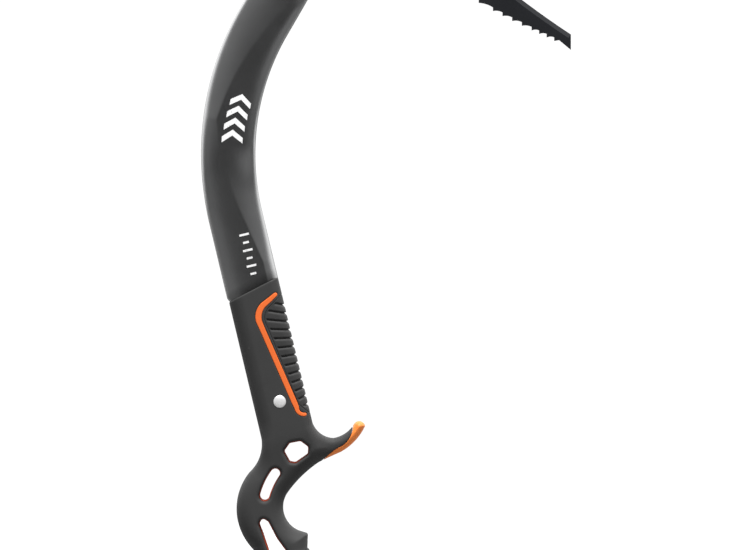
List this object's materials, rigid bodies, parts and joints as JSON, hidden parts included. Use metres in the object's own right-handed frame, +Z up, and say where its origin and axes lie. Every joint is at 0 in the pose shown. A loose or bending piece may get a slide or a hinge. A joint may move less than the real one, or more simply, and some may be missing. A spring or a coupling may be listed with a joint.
{
  "type": "ice axe",
  "caption": "Technical ice axe with a bent tubular shaft, toothed pick, rear hammer and a moulded handle with a forward finger hook and sliding griprest.",
  "frame": {"origin": "centre of the clip hole in the root of the pick, on the middle plane", "axes": "+X is the side the pick points to, +Z up towards the head, +Y across the tool; the pick, shaft and handle lie in the X-Z plane"},
  "size_m": [0.2138, 0.033, 0.5164],
  "materials": {
    "shaft_alloy": "black anodised, satin",
    "frame_alloy": "machined",
    "head_steel": "black oxide, satin",
    "pick_steel": "black phosphated, ground bevels",
    "bright_steel": "zinc plated",
    "polished_steel": "polished dome",
    "orange_plastic": "moulded",
    "orange_soft": "soft-touch moulded",
    "black_overmould": "fine matt texture",
    "black_plastic": "fine matt texture",
    "seal_rubber": "matt"
  },
  "bodies": {
    "handle": {"shaft_tube": "shaft_alloy", "shaft_end_plug": "seal_rubber", "head_body": "head_steel", "head_pins": "bright_steel", "pick": "pick_steel", "hammer": "head_steel", "pick_bolt_front": "bright_steel", "pick_bolt_rear": "bright_steel", "pick_nut_front": "bright_steel", "pick_nut_rear": "bright_steel", "pick_washers": "bright_steel", "pick_weight_left": "pick_steel", "pick_weight_right": "pick_steel", "weight_screw": "bright_steel", "weight_nut": "bright_steel", "handle_frame": "frame_alloy", "handle_core": "orange_plastic", "handle_overmould": "black_overmould", "hook_tip": "orange_soft", "upper_rib_pad": "black_overmould", "lower_rib_pad": "black_overmould", "stripe_left": "orange_soft", "stripe_right": "orange_soft", "grip_rivet": "polished_steel", "spike": "pick_steel", "spike_pins": "bright_steel"},
    "griprest": {"griprest": "black_plastic", "griprest_pad": "black_overmould", "griprest_nut": "bright_steel"},
    "griprest_screw": {"griprest_screw": "bright_steel", "griprest_washer": "bright_steel"}
  },
  "joints": [
    {"name": "griprest_slide", "type": "slide", "parent": "handle", "child": "griprest", "axis": [0.5299, 0, -0.848], "range_m": [-0.003, 0.003]},
    {"name": "griprest_screw_turn", "type": "hinge", "parent": "griprest", "child": "griprest_screw", "pos_m": [-0.02676, 0, -0.43843], "axis": [0, 1, 0], "continuous": true}
  ]
}
